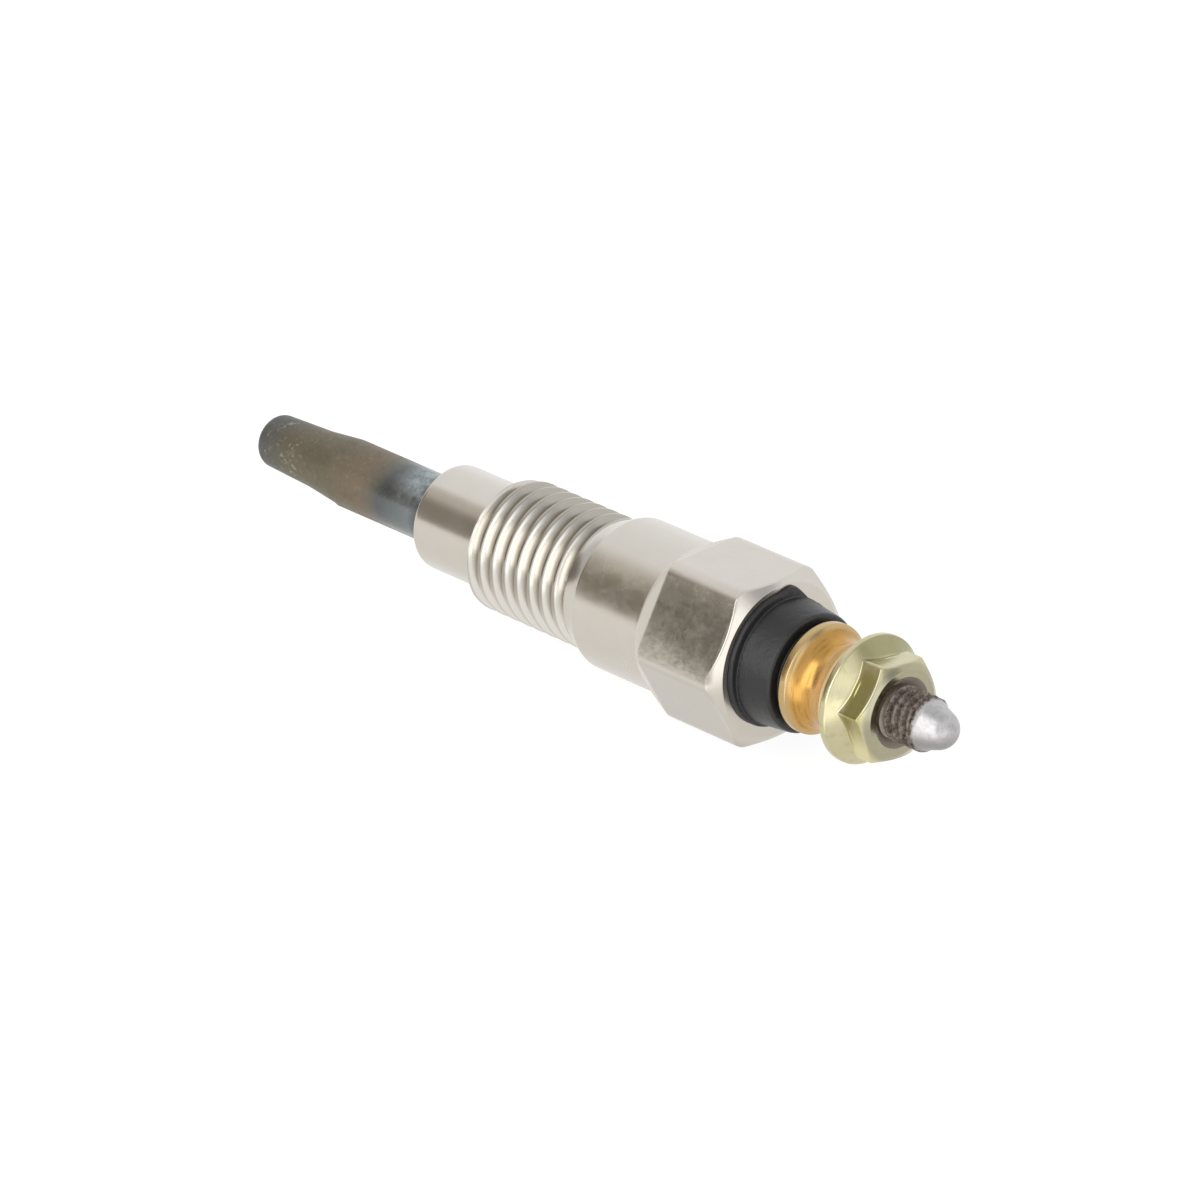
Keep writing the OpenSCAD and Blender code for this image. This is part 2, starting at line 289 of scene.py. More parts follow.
shell = {
    "collarX": -16.7, "collarR": 3.925, "collarRound": 0.45, "threadX": -10.2, "threadR": 4.95,
    "shankX": 1.55, "shankR": 5.64, "hexX": 7.95, "hexFullX": 9.1, "hexEndX": 16.4,
    "hexFlat": 6.0, "cornerR": 6.7, "chamfer": 0.65, "faceR": 5.65, "edge": 0.1,
    "skinR": 5.3, "flatStep": 0.05, "fineSpacing": 0.05,
    "sheathR": 2.5, "sheathEndX": -4.7, "clearR": 3.0, "seatR": 3.7, "seatX": 10.9,
    "thread": {
        "pitch": 1.25, "steps": 200, "spacing": 0.25, "start": -10.2, "end": 0.0, "crest": 4.95, "root": 4.24,
        "crestHalf": 0.12, "flank": 0.43, "crestRound": 0.06, "rootRound": 0.1, "lead": 0.3, "runOut": 0.8,
        "phase": 225.0,
    },
    "colours": {
        "plateLow": (0.54, 0.495, 0.43, 1), "plateHigh": (0.59, 0.555, 0.5, 1), "worn": (0.45, 0.41, 0.34, 1),
        "forged": (0.6, 0.56, 0.49, 1), "shankDarkReflection": (0.32, 0.295, 0.22, 1), "lowerFlatShade": (0.46, 0.425, 0.375, 1),
        "flatShadeLow": (0.145, 0.13, 0.104, 1), "flatShadeHigh": (0.25, 0.225, 0.18, 1),
        "scratch": (0.42, 0.38, 0.31, 1), "rubbed": (0.56, 0.52, 0.45, 1), "flank": (0.72, 0.69, 0.635, 1),
        "topFlankShade": (0.35, 0.32, 0.275, 1), "rootShade": (0.22, 0.185, 0.14, 1), "crest": (0.3, 0.265, 0.215, 1),
    },
}


def nickelPlate():
    s, c = shell, shell["colours"]
    crestR, rootR = s["thread"]["crest"], s["thread"]["root"]
    material, tree, place = startMaterial("nickelPlate")
    x, r, y, z = axisAndRadius(tree, place)
    clouds = tree.noise(place, 0.5, 4.0)
    grain = tree.noise(place, 7.0, 3.0)
    scuffs = tree.noise(tree.stretched(place, (1.0, 1.6, 1.6)), 2.0, 6.0, 0.64)
    mottle = tree.noise(tree.stretched(place, (1.0, 0.7, 1.8)), 0.9, 6.0, 0.62)
    turning = tree.noise(tree.stretched(place, (12.0, 0.1, 0.1)), 1.0, 2.0)
    scratches = tree.noise(tree.stretched(place, (4.0, 0.8, 1.4)), 1.0, 6.0, 0.7)
    # stretches along the axis
    threaded = tree.step(x, s["threadX"] + 0.2, s["threadX"] + 0.6) * tree.step(x, 0.1, -0.3)
    shank = tree.step(x, s["shankX"] - 0.55, s["shankX"] + 0.45)
    shank = shank * tree.step(x, s["hexX"] + 0.05, s["hexX"] - 0.2)
    rise = tree.step(x, s["hexX"] - 0.2, s["hexX"] + 0.05)  # forged skin before the flats
    rise = rise * tree.step(x, s["hexFullX"] + 0.15, s["hexFullX"] - 0.1)
    flats = tree.step(x, s["hexFullX"] - 0.1, s["hexFullX"] + 0.15)
    flats = flats * tree.step(x, s["hexEndX"] - 0.3, s["hexEndX"] - 0.6)
    flats = flats * tree.step(r, s["hexFlat"] - 0.3, s["hexFlat"] - 0.02)
    # thread
    # painted shade: the thread roots are darkened
    rootShade = tree.step(r, rootR + 0.38, rootR + 0.1) * threaded
    # painted highlight: the flanks get a paler colour than the plating
    flank = tree.step(r, crestR - 0.01, crestR - 0.09) * threaded
    # painted shade: the crests are darker on the upper side
    crest = tree.step(r, crestR - 0.09, crestR - 0.02) * threaded * tree.step(z, -2.5, 0.5)
    # painted shade: the upper flanks are darker towards the back
    topFlankShade = flank * tree.step(y, -2.8, 0.4) * tree.step(z, 1.5, 3.5)
    # painted shade: the flat facing the front is darkened and mottled, with scratches and a rubbed lower
    # edge; a painted dark reflection on the shank
    worn = tree.step(scuffs, 0.52, 0.7) * (0.2 + flats * 0.8)
    shadedWornFlat = flats * tree.step(y, -3.4, -4.6) * tree.step(z, -0.1, 0.4)
    rubbed = shadedWornFlat * tree.step(z + x * 0.12, 4.0, 1.6) * (0.35 + tree.step(scuffs, 0.3, 0.7) * 0.5)
    # painted shade: the lower flats are darker
    lower = flats * tree.step(z, -0.1, -0.6)
    # painted reflection: a mottled dark band on the front upper side of the shank
    shankDarkReflection = shank * tree.step(y, -3.2, -4.4) * tree.step(z, 1.4, 2.4)
    shankDarkReflection = shankDarkReflection * (0.25 + tree.step(mottle, 0.35, 0.6) * 0.4)
    # painted shade on the front flat, mottled and darker towards the terminal end
    flatShade = tree.blend(tree.step(mottle + (12.4 - x) * 0.03, 0.36, 0.66), c["flatShadeLow"], c["flatShadeHigh"])
    colour = tree.layers(tree.blend(clouds, c["plateLow"], c["plateHigh"]), [
        (worn * 0.08, c["worn"]), (rise * 0.8, c["forged"]), (shankDarkReflection, c["shankDarkReflection"]),
        (lower * 0.6, c["lowerFlatShade"]), (shadedWornFlat * 0.88, flatShade),
        (shadedWornFlat * tree.step(scratches, 0.53, 0.7) * 0.45, c["scratch"]),
        (rubbed * 0.7, c["rubbed"]), (flank * 0.9, c["flank"]), (topFlankShade * 0.9, c["topFlankShade"]),
        (rootShade * 0.65, c["rootShade"]), (crest * 0.75, c["crest"]),
    ])
    roughness = 0.18 + clouds * 0.08 + worn * 0.05 + shadedWornFlat * 0.08 + rubbed * 0.16
    roughness = roughness + shank * 0.04 + rise * 0.2
    height = grain * 0.04 + scuffs * (0.1 + shadedWornFlat * 0.1) + turning * 0.06
    return finishMaterial(material, tree, {
        "Base Color": colour, "Metallic": 1.0 - rubbed * 0.45 - rise * 0.6, "Roughness": roughness,
    }, height, 0.00003, 0.35)


def makeShell():
    s = shell
    bm = bmesh.new()
    front, rear = spinThread(bm, s["thread"])
    collar = roundCorners([
        (s["threadX"], s["threadR"] - 0.6, 0), (s["threadX"], s["collarR"], 0.06),
        (s["collarX"], s["collarR"], s["collarRound"]), (s["collarX"], s["sheathR"], 0.1),
        (s["sheathEndX"], s["sheathR"], 0),
    ])
    front = extrudeRings(bm, front, collar[1:])
    body = roundCorners([
        (0, s["threadR"], 0), (s["shankX"], s["shankR"], 0.5), (s["hexX"], s["shankR"], 0.15),
        (s["hexFullX"], s["cornerR"], 0.25), (s["hexEndX"] - s["chamfer"], s["cornerR"], 0.12),
        (s["hexEndX"], s["faceR"], 0.09), (s["hexEndX"], s["seatR"], 0.15),
        (s["seatX"], s["seatR"], 0.1), (s["seatX"], s["clearR"], 0.1), (s["sheathEndX"], s["clearR"], 0),
    ])
    outside = [i for i, p in enumerate(body) if p.y > s["skinR"]][-1] + 1
    skin = splitLine(body[:outside], s["hexX"] - 0.2, s["hexFullX"] + 0.2, s["fineSpacing"])
    skin = splitLine(skin, s["hexEndX"] - s["chamfer"] - 0.2, s["hexEndX"] + 0.1, s["fineSpacing"])
    rear = extrudeRings(bm, rear, skin[1:] + body[outside:])
    bmesh.ops.bridge_loops(bm, edges=front + rear)
    flatStart = s["shankR"] + s["flatStep"]
    for vert in bm.verts:  # flats of the hexagon, which rise from the shank
        x, r, angle = polar(vert)
        if x > s["hexX"] and r > s["skinR"]:
            rise = min((x - s["hexX"]) / (s["hexFullX"] - s["hexX"]), 1.0)
            flat = flatStart + (s["hexFlat"] - flatStart) * rise
            flat = flat / math.cos(math.radians(fromFlat(angle)))
            setPolar(vert, x, softMin(flat, r, s["edge"]), angle)
    return makePiece("shellBody", bm, "shell", nickelPlate(), 50)


makeShell()


# heater sheath with its heat tints

sheath = {
    "tipX": -35.85, "tipR": 2.0, "slimX": -30.45, "slimR": 2.175, "taperX": -27.3, "rearR": 2.5,
    "endX": -4.7, "wall": 0.55, "domeX": -34.75, "cavityX": -34.45, "steps": 160, "spacing": 0.4,
    "shownX": -16.0, "skinR": 1.9, "uneven": 0.012,
    "bead": {"x": -27.0, "length": 0.22, "angle": -124, "width": 7, "height": 0.11},
    "tints": [  # from the tip to the collar
        (0.0, (0.095, 0.095, 0.091, 1)), (0.13, (0.1, 0.096, 0.083, 1)), (0.22, (0.128, 0.11, 0.073, 1)),
        (0.45, (0.139, 0.118, 0.076, 1)), (0.64, (0.172, 0.132, 0.089, 1)), (0.7, (0.144, 0.128, 0.096, 1)),
        (0.76, (0.11, 0.115, 0.112, 1)), (0.9, (0.19, 0.205, 0.207, 1)), (1.0, (0.05, 0.05, 0.05, 1)),
    ],
    "colours": {
        "soot": (0.085, 0.075, 0.058, 1), "mottle": (0.23, 0.21, 0.165, 1), "fleck": (0.42, 0.39, 0.29, 1),
        "blueSheen": (0.33, 0.38, 0.39, 1),
    },
}


def heatAlloy():
    c = sheath["colours"]
    material, tree, place = startMaterial("heatAlloy")
    x, y, z = tree.split(place)
    drift = tree.noise(place, 0.4, 4.0)
    spots = tree.noise(place, 1.3, 6.0, 0.68)
    grit = tree.noise(place, 3.4, 5.0, 0.72)
    mottle = tree.noise(place, 3.2, 6.0, 0.7)
    slant = x - y * 0.25 + (drift - 0.5) * 1.6
    along = tree.add("ShaderNodeMapRange", {}, {"Value": slant, "From Min": -36.0, "From Max": -16.3})
    zones = tree.add("ShaderNodeValToRGB", {"stops": sheath["tints"]}, {"Fac": along})
    tip = tree.step(x, -29.5, -31.5) * tree.step(x, -35.4, -34.2)
    steel = tree.step(slant, -23.4, -20.4)
    flecks = tree.step(grit * 0.5 + spots * 0.5, 0.54, 0.62) * tip
    # painted highlight: a pale blue-grey sheen on the upper side near the collar
    blueSheen = tree.step(x, -21.2, -18.6) * tree.step(z, 0.6, 2.0) * tree.step(spots, 0.36, 0.6)
    colour = tree.layers(zones, [
        (tree.step(spots, 0.52, 0.72) * 0.35 * (1 - steel), c["soot"]),
        (tree.step(mottle, 0.52, 0.7) * 0.5 * (1 - steel * 0.5), c["mottle"]),
        (flecks * 0.55, c["fleck"]), (blueSheen * 0.8, c["blueSheen"]),
    ])
    return finishMaterial(material, tree, {
        "Base Color": colour, "Metallic": 0.7 + steel * 0.25,
        "Roughness": 0.5 - steel * 0.25 + (spots - 0.5) * 0.2,
    }, grit * 0.4 + spots * 0.6, 0.00004, 0.4)


def makeSheath():
    s, bead = sheath, sheath["bead"]
    bm = bmesh.new()
    dome = [Vector((s["domeX"] - (s["domeX"] - s["tipX"]) * math.sin(a), s["tipR"] * math.cos(a) ** 0.8))
            for a in (math.radians(90 - 6 * k) for k in range(16))]
    dome[0].y = 0.0
    outer = roundCorners([
        (s["domeX"], s["tipR"], 0), (s["slimX"], s["slimR"], 2.5), (s["taperX"], s["rearR"], 4.0),
        (s["endX"], s["rearR"], 0.1), (s["endX"], s["rearR"] - s["wall"], 0.1),
        (s["taperX"], s["rearR"] - s["wall"], 1.0), (s["slimX"], s["slimR"] - s["wall"], 1.0),
        (s["cavityX"], s["tipR"] - s["wall"], 0.1), (s["cavityX"], 0, 0),
    ], 8)
    spinLine(bm, splitLine(dome + outer[1:], s["tipX"] - 0.15, s["shownX"], s["spacing"]), s["steps"])
    for vert in bm.verts:  # a worn, slightly uneven skin and one bead of scale underneath
        x, r, angle = polar(vert)
        if x < s["shownX"] and r > s["skinR"]:
            swell = noise.noise(Vector((x * 0.5, math.cos(angle), math.sin(angle))))
            scale = hump(x, bead["x"], bead["length"])
            scale *= hump(math.degrees(angle), bead["angle"], bead["width"])
            setPolar(vert, x, r + s["uneven"] * swell + bead["height"] * scale, angle)
    return makePiece("heaterSheath", bm, "heater_sheath", heatAlloy(), 40)


makeSheath()


# black insulating bush

bush = {
    "x": 16.4, "flangeR": 4.98, "flangeT": 0.35, "flangeShift": (-0.2, 0.22), "rootR": 4.65, "endR": 4.35,
    "bodyX": 19.55, "neckR": 3.5, "endX": 20.0, "boreR": 2.05, "spigotR": 3.65, "spigotX": 12.95,
    "steps": 180,
    "flash": {"angle": 76, "width": 8, "height": 0.32}, "dent": {"angle": 50, "width": 12, "depth": 0.38},
    "ragged": 0.05, "swell": 0.03,
    "colours": {"low": (0.007, 0.0068, 0.0065, 1), "high": (0.016, 0.015, 0.0145, 1)},
}


def blackResin():
    c = bush["colours"]
    material, tree, place = startMaterial("blackResin")
    clouds = tree.noise(place, 0.7, 5.0)
    grain = tree.noise(place, 5.0, 4.0, 0.65)
    lumps = tree.noise(place, 1.6, 3.0)
    return finishMaterial(material, tree, {
        "Base Color": tree.blend(clouds, c["low"], c["high"]), "Roughness": 0.3 + grain * 0.16,
        "Specular IOR Level": 0.42,
    }, grain * 0.25 + lumps * 0.75, 0.00012, 0.5)


def makeBush():
    s, flash, dent = bush, bush["flash"], bush["dent"]
    flangeEndX, lipR = s["x"] + s["flangeT"], s["flangeR"] - 0.05
    bm = bmesh.new()
    line = roundCorners([
        (s["spigotX"], s["boreR"], 0), (s["spigotX"], s["spigotR"], 0.1), (s["x"], s["spigotR"], 0.02),
        (s["x"], s["flangeR"], 0.08), (flangeEndX, lipR, 0.14), (flangeEndX, s["rootR"], 0.1),
        (s["bodyX"], s["endR"], 0.3), (s["bodyX"], s["neckR"], 0.08), (s["endX"], s["neckR"], 0.02),
        (s["endX"], s["boreR"], 0),
    ])
    spinLine(bm, line, s["steps"], closed=True)
    for vert in bm.verts:  # the thin flange is moulded off centre, with a flash at its top
        x, r, angle = polar(vert)
        degrees = math.degrees(angle)
        if r > s["rootR"] + 0.05 and x < flangeEndX + 0.02:
            share = smoothStep(r, s["rootR"], lipR)
            grown = flash["height"] * hump(degrees, flash["angle"], flash["width"])
            sunk = dent["depth"] * hump(degrees, dent["angle"], dent["width"])
            ragged = s["ragged"] * noise.noise(Vector((5 * math.cos(angle), 5 * math.sin(angle), 0)))
            setPolar(vert, x, r + share * (ragged + grown - sunk), angle)
            vert.co.y += share * s["flangeShift"][0] * mm
            vert.co.z += share * s["flangeShift"][1] * mm
        elif x > flangeEndX and r > s["neckR"] + 0.1:
            swell = noise.noise(Vector((x * 0.4, 2 * math.cos(angle), 2 * math.sin(angle))))
            setPolar(vert, x, r + s["swell"] * swell, angle)
    return makePiece("insulatingBush", bm, "insulating_bush", blackResin(), 40)


makeBush()


# amber-gold crimp ring

ring = {
    "x": 20.0, "endX": 24.65, "rimR": 4.05, "endR": 3.85, "waistR": 3.05, "rim": 0.75, "boreR": 1.775,
    "steps": 160,
    "colours": {
        "amberLow": (0.46, 0.235, 0.05, 1), "amberHigh": (0.58, 0.345, 0.105, 1),
        "streak": (0.3, 0.14, 0.035, 1), "shaded": (0.3, 0.165, 0.05, 1), "rim": (0.5, 0.375, 0.195, 1),
        "nutFlangeReflection": (0.64, 0.455, 0.22, 1),
    },
}


def goldBrass():
    s, c = ring, ring["colours"]
    material, tree, place = startMaterial("goldBrass")
    x, r, _, z = axisAndRadius(tree, place)
    clouds = tree.noise(place, 0.8, 4.0)
    turning = tree.noise(tree.stretched(place, (9.0, 0.2, 0.2)), 1.0, 3.0)
    streaks = tree.noise(tree.stretched(place, (5.0, 0.6, 0.6)), 1.0, 5.0, 0.65)
    nutFlangeReflection = tree.step(x, s["x"] + 2.0, s["x"] + 3.2)  # painted reflection of the nut's flange on the slope beside the nut
    shaded = tree.step(z, 1.2, 2.6) * tree.step(x, s["x"] + 1.8, s["x"] + 1.0)
    colour = tree.layers(tree.blend(clouds, c["amberLow"], c["amberHigh"]), [
        (tree.step(streaks, 0.5, 0.68) * 0.6, c["streak"]), (shaded * 0.5, c["shaded"]),
        (tree.step(r, 3.6, 3.9) * 0.75, c["rim"]), (nutFlangeReflection * 0.8, c["nutFlangeReflection"]),
    ])
    return finishMaterial(material, tree, {
        "Base Color": colour, "Metallic": 1.0 - nutFlangeReflection * 0.5, "Roughness": 0.18 + clouds * 0.1 + nutFlangeReflection * 0.1,
    }, turning * 0.5 + clouds * 0.5, 0.00003, 0.4)


def makeRing():
    s = ring
    bm = bmesh.new()
    half = (s["endX"] - s["x"]) / 2 - s["rim"]
    depth = s["rimR"] - s["waistR"]
    radius = (half * half + depth * depth) / (2 * depth)
    middle = (s["x"] + s["endX"]) / 2
    reach = math.asin(half / radius)
    arc = [(middle + radius * math.sin(a), s["waistR"] + radius * (1 - math.cos(a)))
           for a in (reach * (k / 12 - 1) for k in range(25))]
    waist = [(x, min(r, s["endR"]) if x > middle else r, 0) for x, r in arc]
    line = roundCorners([
        (s["x"], s["boreR"], 0), (s["x"], s["rimR"], 0.3), (waist[0][0], waist[0][1], 0.12), *waist[1:-1],
        (waist[-1][0], waist[-1][1], 0.1), (s["endX"], s["endR"], 0.15), (s["endX"], s["boreR"], 0),
    ])
    spinLine(bm, line, s["steps"], closed=True)
    return makePiece("crimpRing", bm, "crimp_ring", goldBrass(), 40)


makeRing()


# yellow-plated flange nut

nut = {
    "x": 24.65, "endX": 28.1, "flangeR": 4.7, "rim": 0.55, "coneX": 26.15, "flat": 3.5, "chamfer": 0.55,
    "faceR": 3.15, "sinkR": 2.6, "boreR": 1.775, "turn": -8, "edge": 0.1, "steps": 240, "fineSpacing": 0.05,
    "colours": {
        "zincLow": (0.49, 0.435, 0.24, 1), "zincHigh": (0.58, 0.54, 0.37, 1), "bloom": (0.38, 0.37, 0.15, 1),
        "coneTopShade": (0.27, 0.25, 0.13, 1), "flatLitLow": (0.68, 0.62, 0.33, 1), "flatShadedHigh": (0.3, 0.265, 0.08, 1),
        "end": (0.325, 0.305, 0.215, 1), "sink": (0.36, 0.3, 0.245, 1),
    },
}


def yellowZinc():
    s, c = nut, nut["colours"]
    material, tree, place = startMaterial("yellowZinc")
    x, r, y, z = axisAndRadius(tree, place)
    clouds = tree.noise(place, 0.45, 4.0)
    bloom = tree.noise(place, 1.1, 5.0, 0.6)
    grain = tree.noise(place, 6.0, 4.0)
    flats = tree.step(x, s["coneX"] - 0.25, s["coneX"] + 0.35)
    flats = flats * tree.step(x, s["endX"] - 0.3, s["endX"] - 0.55)
    cone = tree.step(x, s["coneX"] + 0.15, s["coneX"] - 0.15) * tree.step(x, s["x"] + 0.35, s["x"] + 0.6)
    end = tree.step(x, s["endX"] - 0.4, s["endX"] - 0.15)
    # painted light: a lighter, rough brown in the countersink against the shade in the hole
    sink = tree.step(r, s["sinkR"] + 0.02, s["sinkR"] - 0.1)
    # painted shade: the upper back of the cone is darker, and the upper flats are left out of the flat colour
    upper = tree.step(z, 1.6, 3.2) * tree.step(y, -2.4, -1.2)
    # painted light and shade: the flats are pale below and dark olive above
    flatLightAndShade = tree.blend(tree.step(z, -2.6, 0.2), c["flatLitLow"], c["flatShadedHigh"])
    colour = tree.layers(tree.blend(clouds, c["zincLow"], c["zincHigh"]), [
        (tree.step(bloom, 0.48, 0.7) * 0.4, c["bloom"]), (cone * upper * 0.8, c["coneTopShade"]),
        (flats * (1 - upper) * (0.6 + bloom * 0.4), flatLightAndShade), (end * (0.6 + clouds * 0.4), c["end"]),
        (sink, c["sink"]),
    ])
    return finishMaterial(material, tree, {
        "Base Color": colour, "Metallic": 1.0 - sink * 0.85, "Roughness": 0.15 + bloom * 0.13 + sink * 0.4,
    }, grain * 0.3 + bloom * 0.7, 0.00003, 0.35)


def makeNut():
    s = nut
    bm = bmesh.new()
    sink = s["sinkR"] - s["boreR"]
    corner = s["flat"] / math.cos(math.radians(30))
    slope = s["chamfer"] / (corner - s["faceR"])
    outer = roundCorners([
        (s["x"] + sink, s["boreR"], 0.05), (s["x"], s["sinkR"], 0.05), (s["x"], s["flangeR"], 0.16),
        (s["x"] + s["rim"], s["flangeR"], 0.2), (s["coneX"], s["flat"], 0.2),
        (s["endX"] - slope * (s["flat"] - s["faceR"]), s["flat"], 0), (s["endX"], s["faceR"], 0.06),
        (s["endX"], s["sinkR"], 0.05), (s["endX"] - sink, s["boreR"], 0),
    ])
    outer = splitLine(outer, s["x"] + 0.3, s["endX"] + 0.1, s["fineSpacing"])
    spinLine(bm, outer, s["steps"], closed=True)
    for vert in bm.verts:  # six flats that stand on the flange's cone
        x, r, angle = polar(vert)
        if x > s["x"] + s["rim"] * 0.8 and r > s["flat"] - 0.2:
            flat = s["flat"] / math.cos(math.radians(fromFlat(angle, s["turn"])))
            hexR = softMin(flat, min(s["faceR"] + (s["endX"] - x) / slope, corner + 1), s["edge"])
            setPolar(vert, x, softMax(r, hexR, s["edge"]) if x < s["coneX"] + 0.3 else min(hexR, flat), angle)
    return makePiece("flangeNut", bm, "flange_nut", yellowZinc(), 50)


makeNut()


# centre electrode with the terminal thread

electrode = {
    "spigotX": -24.65, "spigotR": 0.77, "coilEndX": -21.79, "innerR": 1.3, "rodX": -3.0, "rodR": 1.65,
    "studX": 15.1, "pitchR": 1.775, "noseX": 30.9, "noseR": 1.75, "noseLen": 2.1, "noseRound": 1.45,
    "thread": {
        "pitch": 0.7, "steps": 120, "spacing": 0.2, "start": 27.7, "end": 30.65, "crest": 2.0, "root": 1.62,
        "crestHalf": 0.07, "flank": 0.22, "crestRound": 0.05, "rootRound": 0.06, "lead": 0.1, "runOut": 0.15,
        "phase": 0.0,
    },
    "colours": {
        "rustLow": (0.07, 0.056, 0.044, 1), "rustHigh": (0.3, 0.255, 0.215, 1),
        "threadInSinkLight": (0.52, 0.45, 0.385, 1), "noseLow": (0.47, 0.452, 0.444, 1),
        "noseHigh": (0.39, 0.376, 0.37, 1), "noseUnderShade": (0.27, 0.262, 0.258, 1),
    },
}


def electrodeSteel():
    s, c = electrode, electrode["colours"]
    material, tree, place = startMaterial("electrodeSteel")
    x, _, z = tree.split(place)
    rust = tree.noise(place, 2.6, 6.0, 0.7)
    grain = tree.noise(place, 9.0, 3.0)
    nose = tree.step(x + (rust - 0.5) * 0.3, s["thread"]["end"], s["noseX"] - 0.05)
    threadInSinkLight = tree.step(x, nut["endX"] + 0.3, nut["endX"] - 0.2)  # painted light on the thread inside the nut's countersink, against its shade
    dark = tree.blend(tree.step(rust, 0.34, 0.66), c["rustLow"], c["rustHigh"])
    dark = tree.blend(threadInSinkLight * 0.7, dark, c["threadInSinkLight"])
    bare = tree.blend(tree.step(rust, 0.4, 0.65), c["noseLow"], c["noseHigh"])
    # painted shade: the nose is darker underneath
    bare = tree.blend(tree.step(z, 0.3, -0.9) * 0.8, bare, c["noseUnderShade"])
    return finishMaterial(material, tree, {
        "Base Color": tree.blend(nose, dark, bare), "Metallic": 1.0,
        "Roughness": 0.55 - nose * 0.24 + grain * 0.12,
    }, grain * 0.3 + rust * 0.7 * (1.15 - nose), 0.0001, 0.5)


def makeElectrode():
    s, thread = electrode, electrode["thread"]
    bm = bmesh.new()
    inner, outer = spinThread(bm, thread)
    rod = roundCorners([
        (thread["start"], 1.9, 0), (thread["start"], s["pitchR"], 0.02), (s["studX"], s["pitchR"], 0.05),
        (s["studX"] - 0.1, s["rodR"], 0.05), (s["rodX"] + 0.35, s["rodR"], 0.1),
        (s["rodX"], s["innerR"], 0.1), (s["coilEndX"], s["innerR"], 0.1), (s["coilEndX"], s["spigotR"], 0.05),
        (s["spigotX"], s["spigotR"], 0.1), (s["spigotX"], 0.05, 0),
    ])
    inner = extrudeRings(bm, inner, rod[1:])
    closePole(bm, inner, s["spigotX"])
    roundX = s["noseLen"] - s["noseRound"]
    slope = math.acos(s["noseRound"] / math.hypot(s["noseR"], roundX)) - math.atan2(roundX, s["noseR"])
    nose = roundCorners([
        (thread["end"], thread["crest"], 0), (s["noseX"], s["noseR"], 0.3),
        (s["noseX"] + roundX + s["noseRound"] * math.sin(slope), s["noseRound"] * math.cos(slope), 0),
    ]) + [Vector((s["noseX"] + roundX + s["noseRound"] * math.sin(a), s["noseRound"] * math.cos(a)))
          for a in (slope + (math.pi / 2 - 0.04 - slope) * k / 10 for k in range(1, 11))]
    outer = extrudeRings(bm, outer, nose[1:])
    closePole(bm, outer, s["noseX"] + s["noseLen"])
    return makePiece("centreElectrode", bm, "centre_electrode", electrodeSteel(), 50)


makeElectrode()


# pieces inside keep their solids and get a finish

def plainFinish(name, low, high, metallic, roughness, scale):
    material, tree, place = startMaterial(name)
    clouds = tree.noise(place, scale, 5.0)
    return finishMaterial(material, tree, {
        "Base Color": tree.blend(clouds, low, high), "Metallic": metallic,
        "Roughness": roughness + clouds * 0.15,
    }, clouds, 0.00002, 0.3)


innerFinishes = {  # material, two colours, metallic, roughness and scale of the clouds
    "heating_coil": ("heatingWire", (0.3, 0.29, 0.28, 1), (0.45, 0.44, 0.42, 1), 1.0, 0.35, 4.0),
    "control_coil": ("controlWire", (0.45, 0.43, 0.39, 1), (0.6, 0.58, 0.53, 1), 1.0, 0.3, 4.0),
    "magnesia_filling": ("magnesiaPowder", (0.78, 0.76, 0.7, 1), (0.9, 0.88, 0.84, 1), 0.0, 0.85, 8.0),
    "sheath_seal": ("redRubber", (0.24, 0.07, 0.05, 1), (0.32, 0.1, 0.07, 1), 0.0, 0.6, 3.0),
    "seal_ring": ("blackRubber", (0.02, 0.02, 0.022, 1), (0.04, 0.04, 0.042, 1), 0.0, 0.55, 3.0),
}
for nodeName, finish in innerFinishes.items():
    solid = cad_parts[nodeName]
    finished = plainFinish(*finish)
    for materialSlot in solid.material_slots:
        materialSlot.material = finished
print("inner pieces finished:", len(innerFinishes))


# studio: pale floor, white surround with a dim side at the front left

studio = {
    "floorZ": -6.02, "floorSize": 3.0, "floorColour": (0.13, 0.13, 0.13, 1), "floorGlow": 0.9,
    "sweepGlow": 0.9, "skyLevel": 1.17, "skyTopDrop": 0.3, "stripLevel": 1.5,
    "darkSide": (-0.848, -0.53, 0), "glowSide": (-0.1, -0.995, 0),
    "patches": [  # direction, cosines where it starts and where it is full, level that it adds
        ((0.975, -0.08, 0.16), 0.93, 0.98, 0.7),
        ((0.82, 0.42, 0.39), 0.962, 0.992, -0.6),
        ((-1, -0.05, 0), 0.86, 0.95, -0.4),
    ],
    "litTint": (0.98, 1.0, 1.03, 1), "dimTint": (1.14, 1.0, 0.78, 1),
    "azimuth": 45.725, "elevation": 25.343, "distance": 0.6,
    "focalPixels": 8529.0, "framePixels": 1200.0, "originPixel": (614.34, 587.11),
}


def makeFloor():
    bm = bmesh.new()
    bmesh.ops.create_grid(bm, x_segments=1, y_segments=1, size=studio["floorSize"])
    bmesh.ops.translate(bm, verts=bm.verts[:], vec=(0, 0, studio["floorZ"] * mm))
    mesh = bpy.data.meshes.new("floor")
    bm.to_mesh(mesh)
    bm.free()
    material, tree, place = startMaterial("paleFloor")
    x, y = tree.split(place)[:2]
    sweep = tree.step(x, 17.0, 27.0) * tree.step(y, -8.0, -13.0)  # lit more at the front right
    finishMaterial(material, tree, {"Base Color": studio["floorColour"], "Roughness": 0.9,
                                    "Emission Color": 1.0 + sweep * studio["sweepGlow"],
                                    "Emission Strength": studio["floorGlow"]})
    mesh.materials.append(material)
    floor = bpy.data.objects.new("floor", mesh)
    bpy.context.scene.collection.objects.link(floor)


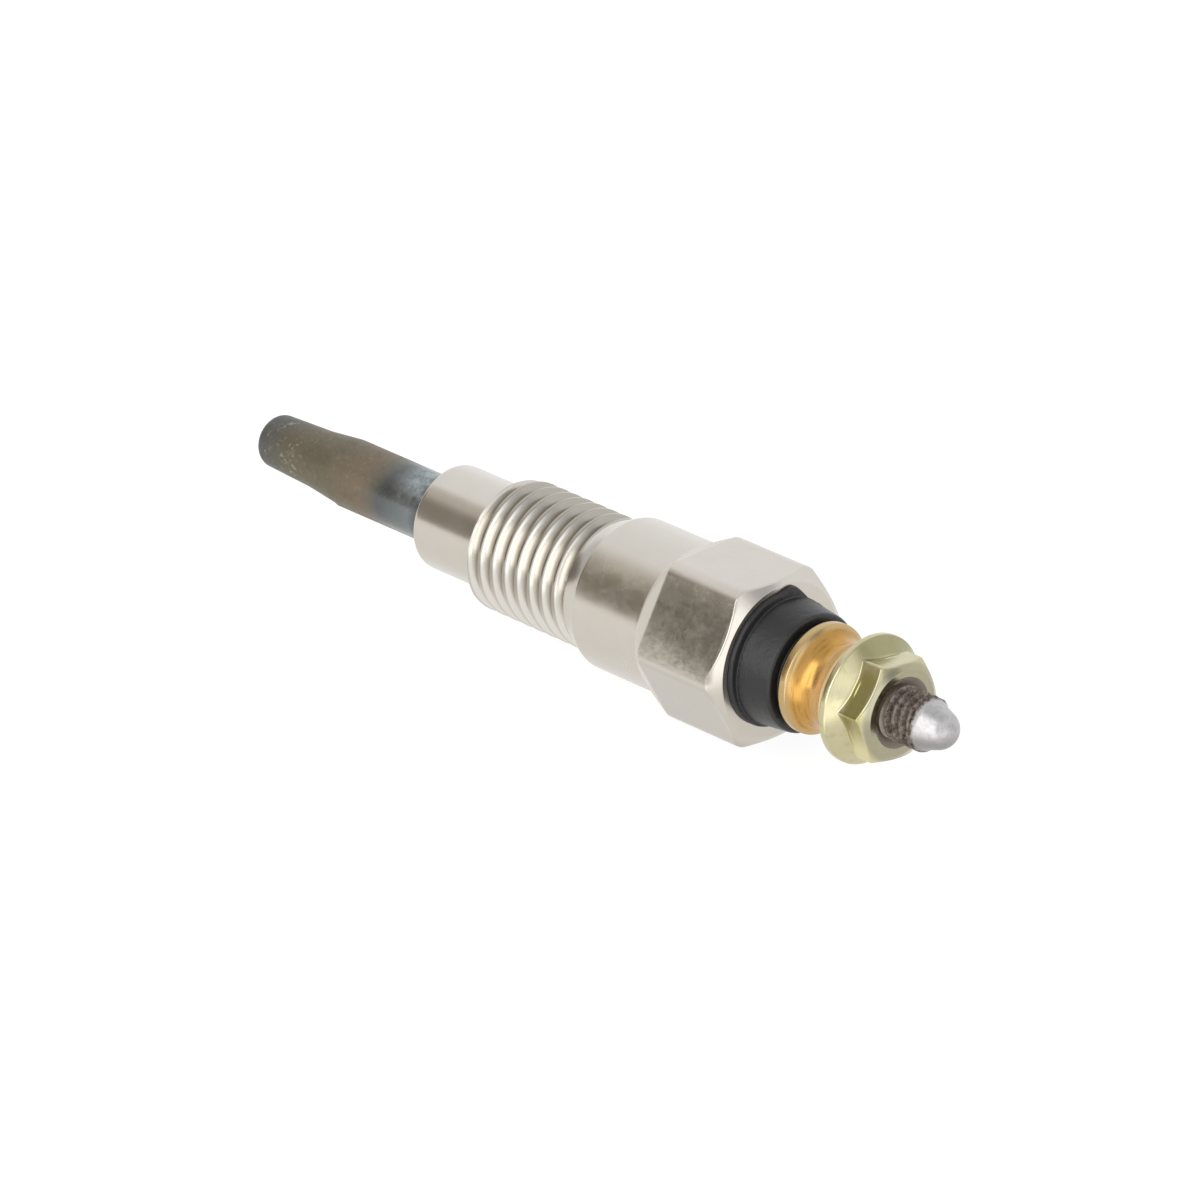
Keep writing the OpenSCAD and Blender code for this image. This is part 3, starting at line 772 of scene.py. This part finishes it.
def makeSurround():
    s = studio
    world = bpy.data.worlds.new("surround")
    world.use_nodes = True
    bpy.context.scene.world = world
    tree = Tree(world.node_tree)
    direction = tree.add("ShaderNodeTexCoord", out=0)
    up = tree.split(direction)[2]

    def towards(side):  # cosine of the angle to a direction
        return tree.add("ShaderNodeVectorMath", {"operation": "DOT_PRODUCT"},
                        {0: direction, 1: Vector(side).normalized()}, out=1)

    flatten = (1.001 - up * up) ** -0.5  # turns a cosine into that of the compass angle
    strip = tree.step(towards(s["glowSide"]) * flatten, 0.848, 0.927) * tree.step(up, 0.93, 0.8)
    level = s["skyLevel"] - tree.step(up, 0.72, 0.95) * s["skyTopDrop"] + strip * s["stripLevel"]
    for side, start, full, added in s["patches"]:
        level = level + tree.step(towards(side), start, full) * added
    dim = tree.step(towards(s["darkSide"]) * flatten, 0.885, 0.94)
    shade = dim * (tree.step(up, 0.82, 0.66) * 0.42 + tree.step(up, 0.58, 0.46) * 0.36)
    tint = tree.blend(shade, s["litTint"], s["dimTint"])
    background = tree.add("ShaderNodeBackground", {}, {"Color": tint, "Strength": level * (1 - shade)})
    tree.add("ShaderNodeOutputWorld", {}, {"Surface": background})


def makeCamera():
    s = studio
    azimuth, elevation = math.radians(s["azimuth"]), math.radians(s["elevation"])
    back = Vector((math.sin(azimuth) * math.cos(elevation), -math.cos(azimuth) * math.cos(elevation),
                   math.sin(elevation)))
    right = Vector((math.cos(azimuth), math.sin(azimuth), 0))
    up = back.cross(right)
    perPixel = s["distance"] / s["focalPixels"]
    middle = s["framePixels"] / 2
    data = bpy.data.cameras.new("camera")
    data.sensor_width = 36.0
    data.lens = s["focalPixels"] / s["framePixels"] * data.sensor_width
    data.clip_start, data.clip_end = 0.01, 20.0
    camera = bpy.data.objects.new("camera", data)
    camera.location = (back * s["distance"] - right * (s["originPixel"][0] - middle) * perPixel
                       + up * (s["originPixel"][1] - middle) * perPixel)
    camera.rotation_euler = back.to_track_quat("Z", "Y").to_euler()
    bpy.context.scene.collection.objects.link(camera)
    bpy.context.scene.camera = camera


makeFloor()
makeSurround()
makeCamera()
bpy.context.scene.view_settings.view_transform = "Standard"
print("studio ready")
